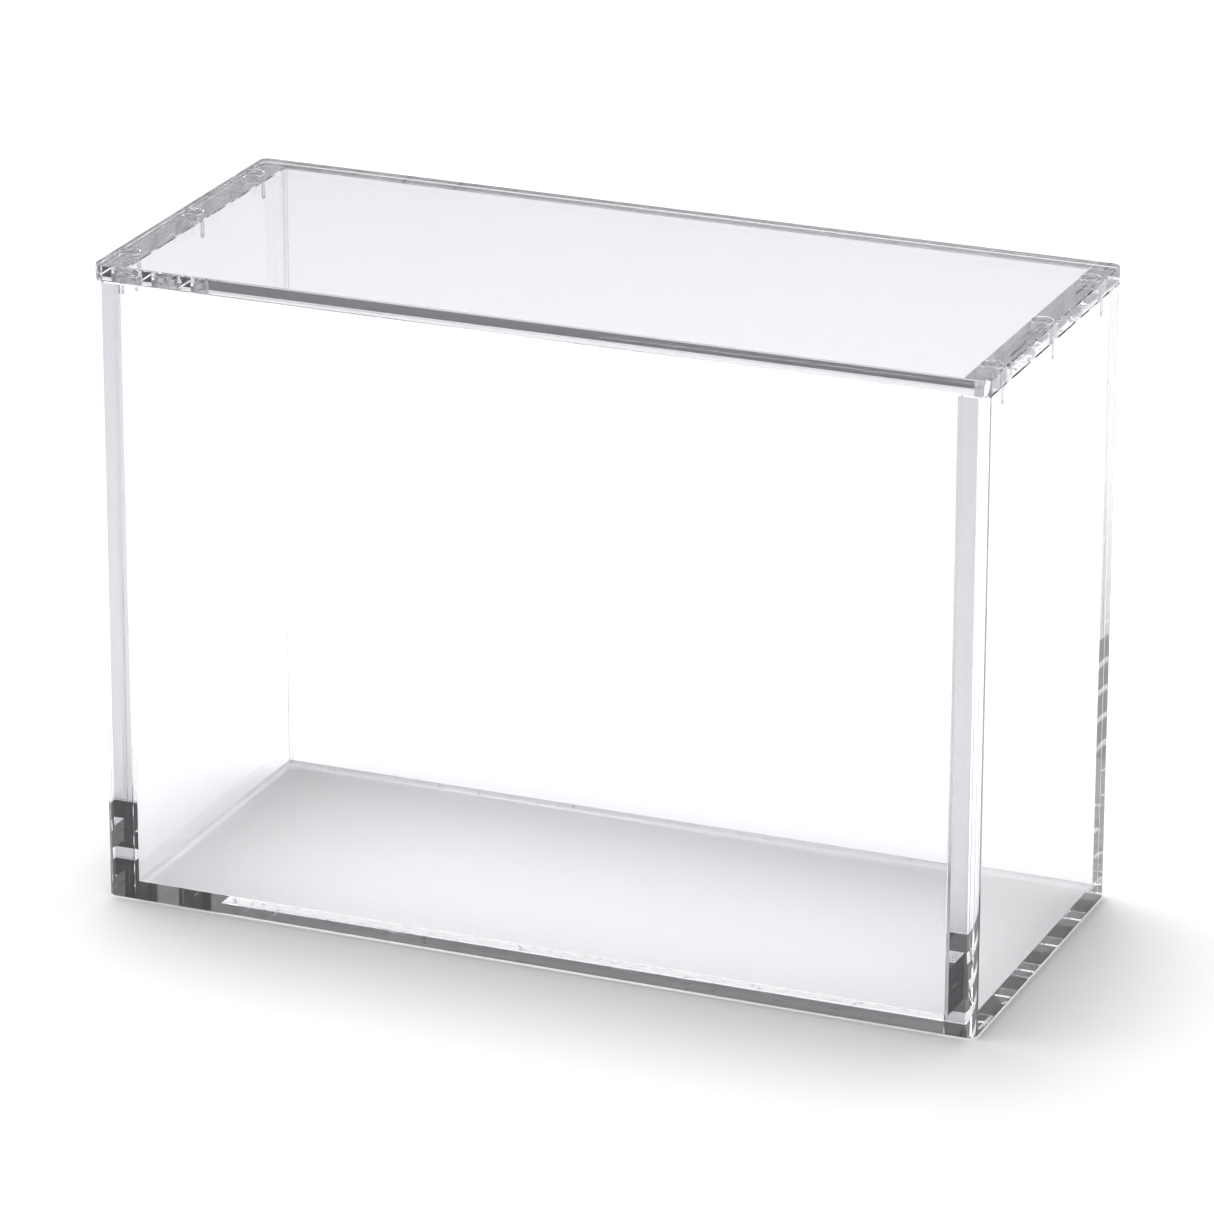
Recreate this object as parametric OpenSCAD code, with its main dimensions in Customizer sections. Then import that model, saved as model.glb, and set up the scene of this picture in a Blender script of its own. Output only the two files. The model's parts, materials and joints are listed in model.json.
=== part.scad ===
// Clear acrylic display case with a lift-off lid. Two thick end walls stand on the table
// and carry the front, the back and the floor between them. Six stepped pegs stand in the
// end walls' top edges, and the lid's holes drop over their heads.
// Millimetres. X runs along the width, Y from front to back, Z up from the table.

/* [Case] */
// Outside width, left to right
case_w = 285; // [120:1:600]
// Outside depth, front to back
case_d = 120; // [90:1:400]
// Outside height with the lid on
case_h = 205; // [60:1:500]

/* [Sheet] */
// Thickness of the lid, floor, front and back
sheet_t = 5; // [3:0.5:8]
// Thickness of the two end walls
wall_t = 9.5; // [8:0.5:20]
// Radius of the upright outside corners
corner_r = 3; // [1:0.5:7]
// Air between the lid and the edges that it lies on
lid_gap = 0.1; // [0.05:0.05:0.3]

/* [Pegs] */
// Diameter of a peg's head, which fills a hole in the lid
head_d = 6; // [5:0.5:7]
// Clearance all round a head in its hole
head_clearance = 0.1; // [0.05:0.01:0.1]
// Diameter of a peg's spigot, pressed into the end wall
spigot_d = 2.5; // [2:0.5:4]
// How far a spigot reaches down into the end wall
spigot_l = 6; // [4:0.5:15]
// Distance from the front or back face to the centre of the outer pegs
peg_inset = 16; // [10:1:30]
// Chamfer round the top of a head and the tip of a spigot
peg_chamfer = 0.3; // [0.1:0.1:0.5]

/* [Hidden] */
$fn = 96;
wall_h = case_h - sheet_t - lid_gap;
inner_w = case_w - 2 * wall_t;
head_h = case_h - wall_h;
drill_point_angle = 118;
drill_point_h = spigot_d / 2 / tan(drill_point_angle / 2);
hole_l = spigot_l + 0.2;
overcut = 1;
acrylic = [0.90, 0.92, 0.95, 0.35];
polished_edge = [0.80, 0.83, 0.88, 0.5];

// Centre lines of the pegs: one x for each end wall, one y for each row.
peg_x = case_w / 2 - wall_t / 2;
peg_y = case_d / 2 - peg_inset;
SIDES = [["left", -peg_x], ["right", peg_x]];
ROWS = [["front", -peg_y], ["middle", 0], ["back", peg_y]];

// A peg's seat: a drilled hole with the cone that the drill's point leaves.
module drilled_seat() {
    translate([0, 0, wall_h - hole_l])
        cylinder(d = spigot_d, h = hole_l + overcut);
    translate([0, 0, wall_h - hole_l - drill_point_h])
        cylinder(d1 = 0, d2 = spigot_d, h = drill_point_h);
}

// End wall with its outside at +X: square inner edges, rounded outer uprights.
module end_wall() {
    difference() {
        linear_extrude(wall_h) {
            translate([case_w / 2 - wall_t, -case_d / 2])
                square([wall_t - corner_r, case_d]);
            translate([case_w / 2 - wall_t, -case_d / 2 + corner_r])
                square([wall_t, case_d - 2 * corner_r]);
            for (y = [-1, 1])
                translate([case_w / 2 - corner_r, y * (case_d / 2 - corner_r)])
                    circle(corner_r);
        }
        for (row = ROWS)
            translate([peg_x, row[1], 0])
                drilled_seat();
    }
}

module right_wall() {
    color(polished_edge)
        end_wall();
}

module left_wall() {
    color(polished_edge)
        mirror([1, 0, 0])
            end_wall();
}

// Floor, let in between the four upright sheets.
module base_plate() {
    color(acrylic)
        translate([-inner_w / 2, -case_d / 2 + sheet_t, 0])
            cube([inner_w, case_d - 2 * sheet_t, sheet_t]);
}

// Upright sheet between the end walls, its near face at y_face.
module upright_sheet(y_face) {
    translate([-inner_w / 2, y_face, 0])
        cube([inner_w, sheet_t, wall_h]);
}

module front_panel() {
    color(acrylic)
        upright_sheet(-case_d / 2);
}

module back_panel() {
    color(acrylic)
        upright_sheet(case_d / 2 - sheet_t);
}

// Lid: the whole footprint, with a hole for each peg's head.
module lid() {
    color(acrylic)
        difference() {
            translate([0, 0, case_h - sheet_t])
                linear_extrude(sheet_t) {
                    square([case_w - 2 * corner_r, case_d], center = true);
                    square([case_w, case_d - 2 * corner_r], center = true);
                    for (x = [-1, 1], y = [-1, 1])
                        translate([x * (case_w / 2 - corner_r), y * (case_d / 2 - corner_r)])
                            circle(corner_r);
                }
            for (side = SIDES, row = ROWS)
                translate([side[1], row[1], case_h - sheet_t - overcut])
                    cylinder(r = head_d / 2 + head_clearance, h = sheet_t + 2 * overcut);
        }
}

// Stepped peg: the head stands on the wall's top edge, the spigot goes down into its seat.
module peg(x, y) {
    head_r = head_d / 2;
    spigot_r = spigot_d / 2;
    color(polished_edge)
        translate([x, y, wall_h])
            rotate_extrude()
                polygon([
                    [0, -spigot_l],
                    [spigot_r - peg_chamfer, -spigot_l],
                    [spigot_r, -spigot_l + peg_chamfer],
                    [spigot_r, 0],
                    [head_r, 0],
                    [head_r, head_h - peg_chamfer],
                    [head_r - peg_chamfer, head_h],
                    [0, head_h]
                ]);
}

base_plate();
left_wall();
right_wall();
front_panel();
back_panel();
lid();
for (side = SIDES, row = ROWS)
    peg(side[1], row[1]);
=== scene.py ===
import bpy
import json
import math
from mathutils import Matrix, Vector

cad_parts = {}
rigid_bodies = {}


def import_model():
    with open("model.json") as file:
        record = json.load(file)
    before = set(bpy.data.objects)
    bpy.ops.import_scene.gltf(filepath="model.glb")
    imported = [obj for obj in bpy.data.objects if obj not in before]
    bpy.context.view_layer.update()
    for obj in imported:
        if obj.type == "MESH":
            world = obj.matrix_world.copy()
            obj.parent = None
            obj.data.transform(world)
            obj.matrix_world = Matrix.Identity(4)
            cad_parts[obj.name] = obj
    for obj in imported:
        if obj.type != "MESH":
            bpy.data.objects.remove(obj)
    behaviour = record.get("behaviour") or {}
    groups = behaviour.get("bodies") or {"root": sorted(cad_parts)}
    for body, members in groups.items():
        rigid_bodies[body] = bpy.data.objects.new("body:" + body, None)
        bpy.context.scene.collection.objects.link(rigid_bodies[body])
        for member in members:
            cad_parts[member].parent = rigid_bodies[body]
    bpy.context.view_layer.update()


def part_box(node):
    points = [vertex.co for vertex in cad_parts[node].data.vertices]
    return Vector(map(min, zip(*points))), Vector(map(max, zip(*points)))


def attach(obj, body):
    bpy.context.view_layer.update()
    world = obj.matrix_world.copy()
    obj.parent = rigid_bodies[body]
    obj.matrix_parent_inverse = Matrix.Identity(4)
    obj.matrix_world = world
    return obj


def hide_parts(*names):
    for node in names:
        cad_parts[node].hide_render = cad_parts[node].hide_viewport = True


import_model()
MM = 0.001

# ---------------------------------------------------------------- table
# A sheet of matt white board on the studio table, far wider than the picture.
# The case stands on it with a hair of air underneath, as rigid sheet does.
TABLE_REACH = 6.0
AIR_UNDER_CASE = 0.25 * MM


def unselect():
    """Nothing stays selected, so that the next operator works on its own piece only."""
    for thing in bpy.context.view_layer.objects:
        thing.select_set(False)


def new_material(name):
    """A node material and its Principled shader."""
    finish = bpy.data.materials.new(name)
    finish.use_nodes = True
    return finish, finish.node_tree.nodes["Principled BSDF"]


unselect()
bpy.ops.mesh.primitive_plane_add(size=TABLE_REACH, location=(0, 0, -AIR_UNDER_CASE))
table = bpy.context.active_object
table.name = "white_board"
board, board_shader = new_material("matt_white_board")
board_shader.inputs["Base Color"].default_value = (0.88, 0.88, 0.885, 1)
board_shader.inputs["Roughness"].default_value = 0.7
board_shader.inputs["Specular IOR Level"].default_value = 0.1
table.data.materials.append(board)

# ---------------------------------------------------------------- studio round the table
# White low walls at table height, a grey wall to the left behind the case, an unlit room
# elsewhere, and white cloth overhead. Acrylic edges show all of these.
scene = bpy.context.scene
scene.view_settings.view_transform = "Standard"
studio = bpy.data.worlds.new("studio")
scene.world = studio
studio.use_nodes = True
walls = studio.node_tree
where = walls.nodes.new("ShaderNodeTexCoord")
split = walls.nodes.new("ShaderNodeSeparateXYZ")
walls.links.new(where.outputs["Generated"], split.inputs[0])
height = walls.nodes.new("ShaderNodeMapRange")
height.inputs["From Min"].default_value = -1
height.inputs["From Max"].default_value = 1
walls.links.new(split.outputs["Z"], height.inputs["Value"])


def wall_tone(stops):
    """Grey of the studio from low to high, through (height, grey) stops."""
    tone = walls.nodes.new("ShaderNodeValToRGB")
    walls.links.new(height.outputs["Result"], tone.inputs["Fac"])
    while len(tone.color_ramp.elements) < len(stops):
        tone.color_ramp.elements.new(0.5)
    for element, (position, grey) in zip(tone.color_ramp.elements, stops):
        element.position = position
        element.color = (grey, grey * 0.99, grey * 1.02, 1)
    return tone.outputs["Color"]


DARK_ROOM = [(0.53, 1.0), (0.57, 0.06), (0.70, 0.04), (0.82, 0.10), (0.90, 1.2)]
GREY_WALL = [(0.53, 1.0), (0.57, 0.30), (0.70, 0.22), (0.80, 0.30), (0.90, 1.2)]
toward_left = walls.nodes.new("ShaderNodeVectorMath")
toward_left.operation = "DOT_PRODUCT"
toward_left.inputs[1].default_value = (-0.92, 0.40, 0)
walls.links.new(where.outputs["Generated"], toward_left.inputs[0])
how_left = walls.nodes.new("ShaderNodeMapRange")
how_left.inputs["From Min"].default_value = -0.15
how_left.inputs["From Max"].default_value = 0.45
walls.links.new(toward_left.outputs["Value"], how_left.inputs["Value"])
room = walls.nodes.new("ShaderNodeMixRGB")
walls.links.new(how_left.outputs["Result"], room.inputs["Fac"])
walls.links.new(wall_tone(DARK_ROOM), room.inputs["Color1"])
walls.links.new(wall_tone(GREY_WALL), room.inputs["Color2"])
walls.links.new(room.outputs["Color"], walls.nodes["Background"].inputs["Color"])

# ---------------------------------------------------------------- lamps
# One softbox over the case, a little left and behind, and a wider one low over the board
# beyond it, so that the ground behind the case stays white.


def softbox(name, place, aim, size, power):
    """A rectangular soft lamp at a place, turned to an aim."""
    lamp = bpy.data.lights.new(name, "AREA")
    lamp.shape = "RECTANGLE"
    lamp.size, lamp.size_y = size
    lamp.energy = power
    holder = bpy.data.objects.new(name, lamp)
    scene.collection.objects.link(holder)
    holder.location = place
    holder.rotation_euler = (Vector(aim) - Vector(place)).to_track_quat("-Z", "Y").to_euler()


softbox("overhead_softbox", (-0.12, 0.15, 1.2), (0, 0, 0.1), (0.7, 0.6), 12.4)
softbox("far_softbox", (-0.45, 1.35, 1.0), (-0.45, 1.2, 0), (2.0, 0.8), 6.0)

# Light zigzags along inside a sheet from end to end, so its path is long. Caustics stay
# off: soft light reaches the board straight through the acrylic instead.
BOUNCES_ALONG_A_SHEET = 72
scene.cycles.max_bounces = BOUNCES_ALONG_A_SHEET
scene.cycles.transmission_bounces = BOUNCES_ALONG_A_SHEET
scene.cycles.glossy_bounces = BOUNCES_ALONG_A_SHEET
scene.cycles.diffuse_bounces = 3
scene.cycles.transparent_max_bounces = 48
scene.cycles.caustics_refractive = False
scene.cycles.caustics_reflective = False

# ---------------------------------------------------------------- camera
# A long lens 2.1 m away, to the right of the front and 20 degrees above the table.
EYE_DISTANCE = 2.108
azimuth, elevation, roll = math.radians(22.49), math.radians(20.50), math.radians(0.12)
aim = Vector((0, 0, 95.2 * MM))
toward_eye = Vector((math.sin(azimuth) * math.cos(elevation),
                     -math.cos(azimuth) * math.cos(elevation),
                     math.sin(elevation)))
lens = bpy.data.cameras.new("long_lens")
lens.sensor_width = 36
lens.lens = 204.7
camera = bpy.data.objects.new("camera", lens)
scene.collection.objects.link(camera)
camera.location = aim + toward_eye * EYE_DISTANCE
camera.rotation_mode = "QUATERNION"
turn = Matrix.Rotation(roll, 3, "Z").to_quaternion()
camera.rotation_quaternion = (-toward_eye).to_track_quat("-Z", "Y") @ turn
scene.camera = camera

# ---------------------------------------------------------------- clear acrylic
# Cast acrylic as it leaves the shop: clear faces with a few grains of dust and hairline
# marks from wiping, and sawn edges polished bright, with the cutter's faint ripple left in.
# Painted shade: the wall ends that face the front, and the lid's front edge, are tinted grey.
HAIRLINE_WIDTH = 0.0012
HAIRLINE_DEPTH = -0.1
SPECKS_PER_METRE = 60.0
SPECK_SPREAD, SPECK_CUT = 0.05, 0.035
MARKED_ROUGHNESS = 0.35
marks = bpy.data.node_groups.new("shop_marks", "ShaderNodeTree")
for socket_name, kind in (("Grain", "NodeSocketVector"), ("Ripple", "NodeSocketFloat"),
                          ("Hairlines", "NodeSocketFloat"), ("Dust", "NodeSocketFloat")):
    marks.interface.new_socket(socket_name, in_out="INPUT", socket_type=kind)
marks.interface.new_socket("Height", in_out="OUTPUT", socket_type="NodeSocketFloat")
marks.interface.new_socket("Roughness", in_out="OUTPUT", socket_type="NodeSocketFloat")
given = marks.nodes.new("NodeGroupInput")
marks_out = marks.nodes.new("NodeGroupOutput")
spot = marks.nodes.new("ShaderNodeTexCoord")


def math_node(tree, operation, first, second):
    """A Math node on two sockets or plain numbers."""
    node = tree.nodes.new("ShaderNodeMath")
    node.operation = operation
    for slot, value in zip(node.inputs, (first, second)):
        if isinstance(value, (int, float)):
            slot.default_value = value
        else:
            tree.links.new(value, slot)
    return node.outputs[0]


grain = marks.nodes.new("ShaderNodeVectorMath")
grain.operation = "MULTIPLY"
marks.links.new(spot.outputs["Object"], grain.inputs[0])
marks.links.new(given.outputs["Grain"], grain.inputs[1])
ripple = marks.nodes.new("ShaderNodeTexNoise")
ripple.inputs["Scale"].default_value = 1.0
ripple.inputs["Detail"].default_value = 3.0
marks.links.new(grain.outputs[0], ripple.inputs["Vector"])
hairline = marks.nodes.new("ShaderNodeTexNoise")
hairline.inputs["Scale"].default_value = 6.0
hairline.inputs["Detail"].default_value = 0.0
hairline.inputs["Distortion"].default_value = 0.3
marks.links.new(spot.outputs["Object"], hairline.inputs["Vector"])
thin = marks.nodes.new("ShaderNodeMapRange")
thin.inputs["From Max"].default_value = HAIRLINE_WIDTH
thin.inputs["To Min"].default_value = 1.0
thin.inputs["To Max"].default_value = 0.0
off_centre = math_node(marks, "SUBTRACT", hairline.outputs["Fac"], 0.5)
marks.links.new(math_node(marks, "ABSOLUTE", off_centre, 0), thin.inputs["Value"])
speck = marks.nodes.new("ShaderNodeTexVoronoi")
speck.inputs["Scale"].default_value = SPECKS_PER_METRE
marks.links.new(spot.outputs["Object"], speck.inputs["Vector"])
grain_size = marks.nodes.new("ShaderNodeSeparateColor")
marks.links.new(speck.outputs["Color"], grain_size.inputs[0])
reach = math_node(marks, "MULTIPLY_ADD", grain_size.outputs["Red"], SPECK_SPREAD)
reach.node.inputs[2].default_value = -SPECK_CUT
dusty = math_node(marks, "LESS_THAN", speck.outputs["Distance"], reach)
dusty = math_node(marks, "MULTIPLY", dusty, given.outputs["Dust"])
lined = math_node(marks, "MULTIPLY", thin.outputs["Result"], given.outputs["Hairlines"])
waves = math_node(marks, "MULTIPLY", ripple.outputs["Fac"], given.outputs["Ripple"])
marks.links.new(math_node(marks, "ADD", waves, math_node(marks, "MULTIPLY", lined, HAIRLINE_DEPTH)),
                marks_out.inputs["Height"])
marks.links.new(math_node(marks, "MULTIPLY", math_node(marks, "ADD", dusty, lined), MARKED_ROUGHNESS),
                marks_out.inputs["Roughness"])


def acrylic_finish(name, tint, clearness, glancing, grain, ripple, hairlines, dust, matt=0.0):
    """Clear acrylic that bends what the eye sees and lets soft light through to the table.

    tint is its colour, clearness the share of soft light that a face passes (a little over 1
    where mirrored light joins it), glancing how late a slanted face starts to mirror it away
    as it enters, grain how fine the cutter's ripple is, and matt the roughness the tool left.
    """
    finish, shader = new_material(name)
    shader.inputs["Base Color"].default_value = (*tint, 1)
    shader.inputs["IOR"].default_value = 1.49
    shader.inputs["Transmission Weight"].default_value = 1.0
    tree = finish.node_tree
    worn = tree.nodes.new("ShaderNodeGroup")
    worn.node_tree = marks
    worn.inputs["Grain"].default_value = grain
    worn.inputs["Ripple"].default_value = ripple
    worn.inputs["Hairlines"].default_value = hairlines
    worn.inputs["Dust"].default_value = dust
    relief = tree.nodes.new("ShaderNodeBump")
    relief.inputs["Strength"].default_value = 0.6
    relief.inputs["Distance"].default_value = 0.0012 * MM
    tree.links.new(worn.outputs["Height"], relief.inputs["Height"])
    tree.links.new(relief.outputs["Normal"], shader.inputs["Normal"])
    tree.links.new(math_node(tree, "ADD", worn.outputs["Roughness"], matt), shader.inputs["Roughness"])
    slant = tree.nodes.new("ShaderNodeLayerWeight")
    slant.inputs["Blend"].default_value = 0.5
    mirrored = math_node(tree, "POWER", slant.outputs["Facing"], glancing)
    side = tree.nodes.new("ShaderNodeNewGeometry")
    entering = math_node(tree, "SUBTRACT", 1, side.outputs["Backfacing"])
    mirrored = math_node(tree, "MULTIPLY", mirrored, entering)
    passed = tree.nodes.new("ShaderNodeMixRGB")
    passed.inputs["Color1"].default_value = (clearness, clearness, clearness, 1)
    passed.inputs["Color2"].default_value = (0, 0, 0, 1)
    tree.links.new(mirrored, passed.inputs["Fac"])
    straight = tree.nodes.new("ShaderNodeBsdfTransparent")
    tree.links.new(passed.outputs["Color"], straight.inputs["Color"])
    ray = tree.nodes.new("ShaderNodeLightPath")
    either = tree.nodes.new("ShaderNodeMixShader")
    soft = math_node(tree, "MAXIMUM", ray.outputs["Is Shadow Ray"], ray.outputs["Is Diffuse Ray"])
    tree.links.new(soft, either.inputs["Fac"])
    tree.links.new(shader.outputs[0], either.inputs[1])
    tree.links.new(straight.outputs[0], either.inputs[2])
    tree.links.new(either.outputs[0], tree.nodes["Material Output"].inputs["Surface"])
    return finish


CLEAR, SAWN = (0.985, 0.98, 0.99), (0.90, 0.89, 0.91)
BROAD, ALONG_LEVEL, ALONG_UPRIGHT = (12, 12, 12), (60, 60, 1500), (1500, 1500, 60)
level_face = acrylic_finish("level_face", CLEAR, clearness=1.05, glancing=5.0,
                            grain=BROAD, ripple=0.1, hairlines=0.3, dust=1.0)
upright_face = acrylic_finish("upright_face", CLEAR, clearness=0.70, glancing=1.7,
                              grain=BROAD, ripple=0.1, hairlines=0.3, dust=1.0)
level_edge = acrylic_finish("level_edge", SAWN, clearness=0.93, glancing=3.0,
                            grain=ALONG_LEVEL, ripple=0.15, hairlines=0.0, dust=0.6)
# The wall ends that face the front get a dark grey tint: painted shade for the grey they show from the
# front. The ends that face the back keep a near-clear tint.
shaded_upright_end = acrylic_finish("upright_end_painted_shade", (0.36, 0.35, 0.37), clearness=0.35, glancing=1.7,
                            grain=ALONG_UPRIGHT, ripple=0.15, hairlines=0.0, dust=0.6)
back_edge = acrylic_finish("upright_edge_back", (0.94, 0.93, 0.95), clearness=0.35, glancing=1.7,
                           grain=ALONG_UPRIGHT, ripple=0.15, hairlines=0.0, dust=0.6)

# Solvent cement leaves no gap: two sheets become one, with a fleck of cloud here and there.
# The upright joints are cemented on edge and come out a little greyer.


def joint_finish(name, clearness):
    """Cement seen through the sheets, passing the given share of the light."""
    finish = bpy.data.materials.new(name)
    finish.use_nodes = True
    tree = finish.node_tree
    tree.nodes.remove(tree.nodes["Principled BSDF"])
    clear = tree.nodes.new("ShaderNodeBsdfTransparent")
    flecks = tree.nodes.new("ShaderNodeTexNoise")
    flecks.inputs["Scale"].default_value = 700
    tree.links.new(tree.nodes.new("ShaderNodeTexCoord").outputs["Object"], flecks.inputs["Vector"])
    cloud = tree.nodes.new("ShaderNodeValToRGB")
    cloud.color_ramp.elements[0].position = 0.28
    cloud.color_ramp.elements[0].color = (0.75, 0.75, 0.76, 1)
    cloud.color_ramp.elements[1].position = 0.36
    cloud.color_ramp.elements[1].color = (clearness, clearness, clearness, 1)
    tree.links.new(flecks.outputs["Fac"], cloud.inputs["Fac"])
    tree.links.new(cloud.outputs["Color"], clear.inputs["Color"])
    tree.links.new(clear.outputs[0], tree.nodes["Material Output"].inputs["Surface"])
    return finish


cement = joint_finish("solvent_joint", 1.0)
upright_joint = joint_finish("solvent_joint_upright", 0.93)

# Drilled holes are left matt by the bit, and the outside of the foot, with the floor sheet
# behind it, lets little light out to the table.
drilled = acrylic_finish("drilled_hole", (0.80, 0.79, 0.81), clearness=0.9, glancing=3.0,
                         grain=ALONG_UPRIGHT, ripple=0.3, hairlines=0.0, dust=0.0, matt=0.22)
foot_band = acrylic_finish("foot_band", CLEAR, clearness=0.1, glancing=1.7,
                           grain=BROAD, ripple=0.1, hairlines=0.0, dust=1.0)
FACE, CEMENT, LEVEL, SHADED_FRONT_END, BACK_END, DRILLED, UPRIGHT_JOINT, FOOT = range(8)

# ---------------------------------------------------------------- floor sheet
# A 5 mm sheet let in between the four uprights and cemented to them along all its edges,
# flush with their feet. Only its top and underside meet the air.
FLOOR_ARRIS = 0.04 * MM
TINY = 0.001 * MM


def sheet_blank(name, low, high, face_finish):
    """A sheet cut to size, between two corners, with its place in its mesh."""
    unselect()
    bpy.ops.mesh.primitive_cube_add(size=1, location=(Vector(low) + Vector(high)) / 2)
    blank = bpy.context.active_object
    blank.name = name
    blank.scale = Vector(high) - Vector(low)
    bpy.ops.object.transform_apply(location=True, rotation=True, scale=True)
    for finish in (face_finish, cement, level_edge, shaded_upright_end, back_edge, drilled,
                   upright_joint, foot_band):
        blank.data.materials.append(finish)
    return blank


def work_on(piece):
    """The piece alone is selected and active."""
    unselect()
    bpy.context.view_layer.objects.active = piece
    piece.select_set(True)


def pick_edges(piece, wanted):
    """Edit mode, with the edges selected whose two ends wanted() accepts."""
    work_on(piece)
    bpy.ops.object.mode_set(mode="EDIT")
    bpy.ops.mesh.select_mode(type="EDGE")
    bpy.ops.mesh.select_all(action="DESELECT")
    bpy.ops.object.mode_set(mode="OBJECT")
    points = piece.data.vertices
    for edge in piece.data.edges:
        a, b = (points[i].co for i in edge.vertices)
        edge.select = wanted(a, b)
    bpy.ops.object.mode_set(mode="EDIT")


def bevel(piece, wanted, size, segments=1):
    """Planes or rounds the edges that wanted() accepts."""
    pick_edges(piece, wanted)
    bpy.ops.mesh.bevel(offset=size, segments=segments, affect="EDGES", clamp_overlap=False)
    bpy.ops.object.mode_set(mode="OBJECT")


def score(piece, point, normal):
    """Scores the piece along a plane, so that the faces on its two sides can differ."""
    work_on(piece)
    bpy.ops.object.mode_set(mode="EDIT")
    bpy.ops.mesh.select_all(action="SELECT")
    bpy.ops.mesh.bisect(plane_co=point, plane_no=normal)
    bpy.ops.object.mode_set(mode="OBJECT")


def give_finish(piece, finish, wanted):
    """One of the sheet's finishes, for the faces that wanted() accepts."""
    for face in piece.data.polygons:
        if wanted(face.center, face.normal):
            face.material_index = finish


def flat_shading(piece):
    """Smooth only across the rounded corners, so that flat faces stay optically flat."""
    work_on(piece)
    bpy.ops.object.shade_smooth_by_angle(angle=math.radians(20))
    level = piece.modifiers.new("level_faces", "WEIGHTED_NORMAL")
    level.weight = 100
    level.keep_sharp = True
    bpy.ops.object.modifier_apply(modifier=level.name)


def turned_copy(piece, name):
    """A second piece like the first, turned half round about the case's upright centre line."""
    work_on(piece)
    bpy.ops.object.duplicate(linked=False)
    twin = bpy.context.active_object
    twin.name = name
    twin.rotation_euler = (0, 0, math.pi)
    bpy.ops.object.transform_apply(location=True, rotation=True, scale=True)
    return twin


floor_low, floor_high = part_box("base_plate")
floor_sheet = sheet_blank("floor_sheet", floor_low, floor_high, level_face)
bevel(floor_sheet, lambda a, b: min(a.z, b.z) > floor_high.z - TINY, FLOOR_ARRIS)
give_finish(floor_sheet, CEMENT, lambda c, n: abs(n.z) < 0.1)
flat_shading(floor_sheet)
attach(floor_sheet, "case")
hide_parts("base_plate")

# ---------------------------------------------------------------- front and back sheets
# Two 5 mm sheets that stand between the end walls, down to the table. Their ends are
# cemented to the walls and their feet to the floor sheet. The back is the front turned round.
ARRIS = 0.3 * MM
HAIR = 0.15 * MM
front_low, front_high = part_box("front_panel")
front_sheet = sheet_blank("front_sheet", front_low, front_high, upright_face)
outside_y, inside_y = front_low.y, front_high.y
bevel(front_sheet,
      lambda a, b: abs(a.x - b.x) > MM and (a.z > MM or abs(a.y - outside_y) < TINY), ARRIS)
bevel(front_sheet,
      lambda a, b: abs(a.z - b.z) > MM and max(a.y, b.y) < outside_y + TINY, HAIR)
score(front_sheet, (0, 0, floor_high.z), (0, 0, 1))
give_finish(front_sheet, LEVEL, lambda c, n: abs(n.z) > 0.1)
give_finish(front_sheet, UPRIGHT_JOINT, lambda c, n: abs(n.x) > 0.9)
give_finish(front_sheet, FOOT, lambda c, n: n.y < -0.9 and c.z < floor_high.z)
give_finish(front_sheet, CEMENT, lambda c, n: n.y > 0.9 and c.z < floor_high.z)
flat_shading(front_sheet)
back_sheet = turned_copy(front_sheet, "back_sheet")
for sheet, node in ((front_sheet, "front_panel"), (back_sheet, "back_panel")):
    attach(sheet, "case")
    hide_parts(node)

# ---------------------------------------------------------------- end walls
# Two 9.5 mm walls, one at each end, that stand on the table and carry the other sheets.
# Their outside uprights are rounded, and three blind holes in each top edge take the pegs.
CORNER, CORNER_FACETS = 3 * MM, 16
SEAT_R = 1.30 * MM
SEAT_SPARE = 0.2 * MM
SEAT_REACH = 10 * MM
DRILL_POINT = math.radians(118)
FLAT = 0.9995


def rod(name, steps, centre):
    """A turned rod on an upright axis, through (height, radius) steps from the bottom up."""
    unselect()
    (bottom, bottom_r), (top, top_r) = steps[:2]
    bpy.ops.mesh.primitive_cylinder_add(vertices=64, radius=bottom_r, depth=top - bottom,
                                        location=(centre.x, centre.y, (bottom + top) / 2))
    turned = bpy.context.active_object
    turned.name = name
    bpy.ops.object.transform_apply(location=True, rotation=True, scale=True)
    bpy.ops.object.mode_set(mode="EDIT")
    bpy.ops.mesh.select_mode(type="FACE")
    bpy.ops.mesh.select_all(action="DESELECT")
    bpy.ops.object.mode_set(mode="OBJECT")
    for face in turned.data.polygons:
        face.select = face.normal.z > 0.9
    bpy.ops.object.mode_set(mode="EDIT")
    if top_r != bottom_r:
        share = top_r / bottom_r
        bpy.ops.transform.resize(value=(share, share, 1), center_override=(centre.x, centre.y, top))
    for (z0, r0), (z1, r1) in zip(steps[1:], steps[2:]):
        bpy.ops.mesh.extrude_region_move(TRANSFORM_OT_translate={"value": (0, 0, z1 - z0)})
        share = r1 / r0
        bpy.ops.transform.resize(value=(share, share, 1), center_override=(centre.x, centre.y, z1))
    bpy.ops.object.mode_set(mode="OBJECT")
    return turned


def drill(piece, bits):
    """Takes each bit's shape out of the piece."""
    for bit in bits:
        hole = piece.modifiers.new("hole", "BOOLEAN")
        hole.operation = "DIFFERENCE"
        hole.solver = "EXACT"
        hole.object = bit
        work_on(piece)
        bpy.ops.object.modifier_apply(modifier=hole.name)
        bpy.data.objects.remove(bit)


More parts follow.
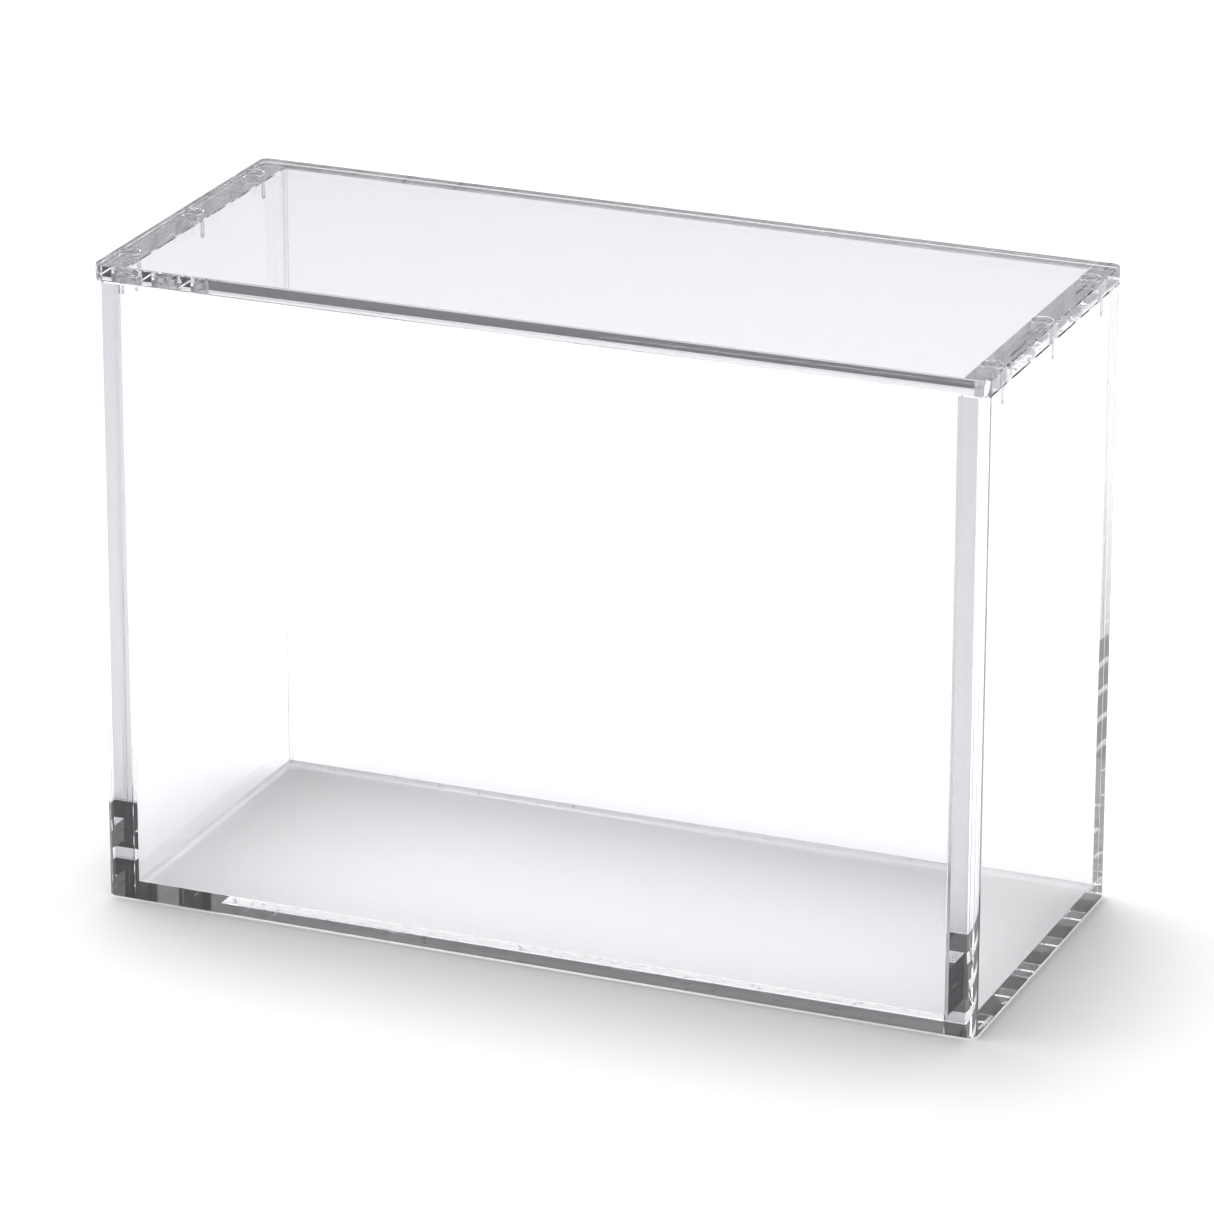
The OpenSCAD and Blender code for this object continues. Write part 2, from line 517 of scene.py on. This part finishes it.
PEG_NODES = {side: [f"peg_{side}_{row}" for row in ("front", "middle", "back")]
             for side in ("left", "right")}
wall_low, wall_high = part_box("right_wall")
right_wall = sheet_blank("right_end_wall", wall_low, wall_high, upright_face)
in_x, out_x = wall_low.x, wall_high.x
bevel(right_wall, lambda a, b: abs(a.z - b.z) > MM and min(a.x, b.x) > out_x - TINY,
      CORNER, CORNER_FACETS)
bevel(right_wall, lambda a, b: a.z - b.z == 0 and (a.z > MM or max(a.x, b.x) > in_x + MM), ARRIS)
bevel(right_wall, lambda a, b: abs(a.z - b.z) > MM and max(a.x, b.x) < in_x + TINY, HAIR)
for y in (inside_y, -inside_y):
    score(right_wall, (0, y, 0), (0, 1, 0))
score(right_wall, (0, 0, floor_high.z), (0, 0, 1))
give_finish(right_wall, LEVEL, lambda c, n: abs(n.z) > 0.1)
give_finish(right_wall, SHADED_FRONT_END, lambda c, n: n.y < -FLAT)
give_finish(right_wall, BACK_END, lambda c, n: n.y > FLAT)
give_finish(right_wall, CEMENT, lambda c, n: n.x < -0.9 and c.z < floor_high.z)
give_finish(right_wall, UPRIGHT_JOINT, lambda c, n: n.x < -0.9 and abs(c.y) > -inside_y)
give_finish(right_wall, FOOT, lambda c, n: n.x > 0.9 and c.z < floor_high.z)
bits = []
for node in PEG_NODES["right"]:
    peg_low, peg_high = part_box(node)
    seat_floor = peg_low.z - SEAT_SPARE
    point = SEAT_R / math.tan(DRILL_POINT / 2)
    bits.append(rod("bit", [(seat_floor - point, 0.02 * MM), (seat_floor, SEAT_R),
                            (wall_high.z + MM, SEAT_R)], (peg_low + peg_high) / 2))
drill(right_wall, bits)
seat_centres = [sum(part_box(node), Vector()) / 2 for node in PEG_NODES["right"]]
give_finish(right_wall, DRILLED, lambda c, n: c.z < wall_high.z - TINY and any(
    (c.xy - s.xy).length < SEAT_R + TINY and c.z > s.z - SEAT_REACH for s in seat_centres))
flat_shading(right_wall)
left_wall = turned_copy(right_wall, "left_end_wall")
# The turned copy swaps its end finishes, so the painted shade stays on the ends that face the front.
for face in left_wall.data.polygons:
    if face.material_index in (SHADED_FRONT_END, BACK_END):
        face.material_index = SHADED_FRONT_END + BACK_END - face.material_index
for wall, node in ((left_wall, "left_wall"), (right_wall, "right_wall")):
    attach(wall, "case")
    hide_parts(node)

# ---------------------------------------------------------------- pegs
# Six turned pegs of clear rod. A thin spigot is pressed down into the wall, and the head
# stands on the wall's top edge and fills a hole in the lid, flush with the lid's top.
CHAMFER = 0.3 * MM
SPIGOT_R = 1.25 * MM
PEG_LIFT = 0.02 * MM
peg_finish = acrylic_finish("turned_rod", SAWN, clearness=0.9, glancing=3.0,
                            grain=ALONG_UPRIGHT, ripple=0.6, hairlines=0.0, dust=0.0)
first_low, first_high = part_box("peg_right_front")
head_r = (first_high.x - first_low.x) / 2
seat_z = wall_high.z + PEG_LIFT
first_centre = (first_low + first_high) / 2
first_peg = rod("right_front_peg", [
    (first_low.z, SPIGOT_R - CHAMFER), (first_low.z + CHAMFER, SPIGOT_R), (seat_z, SPIGOT_R),
    (seat_z, head_r), (first_high.z - CHAMFER, head_r), (first_high.z, head_r - CHAMFER)], first_centre)
first_peg.data.materials.append(peg_finish)
flat_shading(first_peg)
for side, nodes in PEG_NODES.items():
    for node in nodes:
        peg = first_peg
        if node != "peg_right_front":
            work_on(first_peg)
            bpy.ops.object.duplicate(linked=False)
            peg = bpy.context.active_object
            peg.name = "_".join(node.split("_")[1:]) + "_peg"
            low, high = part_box(node)
            peg.location = (low + high) / 2 - first_centre
            bpy.ops.object.transform_apply(location=True, rotation=True, scale=True)
        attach(peg, "case")
        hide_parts(node)

# ---------------------------------------------------------------- lid
# One 5 mm sheet the size of the whole case, with rounded corners, arrises planed all round
# and six holes that drop over the pegs' heads. It lies loose on the walls.
HOLE_R = 3.1 * MM
RIM = 0.15 * MM
NEAR = 0.05 * MM
lid_low, lid_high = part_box("lid")
lid = sheet_blank("lid_sheet", lid_low, lid_high, level_face)
# The lid's front edge gets a grey tint: painted shade, darker than its other edges.
lid.data.materials[SHADED_FRONT_END] = acrylic_finish(
    "lid_painted_shade_edge", (0.60, 0.59, 0.61), clearness=0.35, glancing=1.7,
    grain=ALONG_LEVEL, ripple=0.15, hairlines=0.0, dust=0.6)
bevel(lid, lambda a, b: abs(a.z - b.z) > MM, CORNER, CORNER_FACETS)
bevel(lid, lambda a, b: a.z - b.z == 0, ARRIS)
hole_centres = [(low + high) / 2 for nodes in PEG_NODES.values()
                for low, high in map(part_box, nodes)]
drill(lid, [rod("bit", [(lid_low.z - MM, HOLE_R), (lid_high.z + MM, HOLE_R)], hole)
            for hole in hole_centres])


def on_a_rim(point):
    """Whether a point of the lid lies on the edge of one of its holes."""
    return any(abs((point.xy - hole.xy).length - HOLE_R) < NEAR for hole in hole_centres)


bevel(lid, lambda a, b: abs(a.z - b.z) < TINY and on_a_rim(a) and on_a_rim(b), RIM)
give_finish(lid, LEVEL, lambda c, n: abs(n.z) < 0.9 and (
    abs(c.x) > lid_high.x - CORNER or abs(c.y) > lid_high.y - CORNER))
give_finish(lid, SHADED_FRONT_END, lambda c, n: n.y < -0.9)
give_finish(lid, DRILLED, lambda c, n: abs(n.z) < 0.1 and any(
    (c.xy - s.xy).length < HOLE_R + TINY for s in hole_centres))
flat_shading(lid)
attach(lid, "lid")
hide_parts("lid")
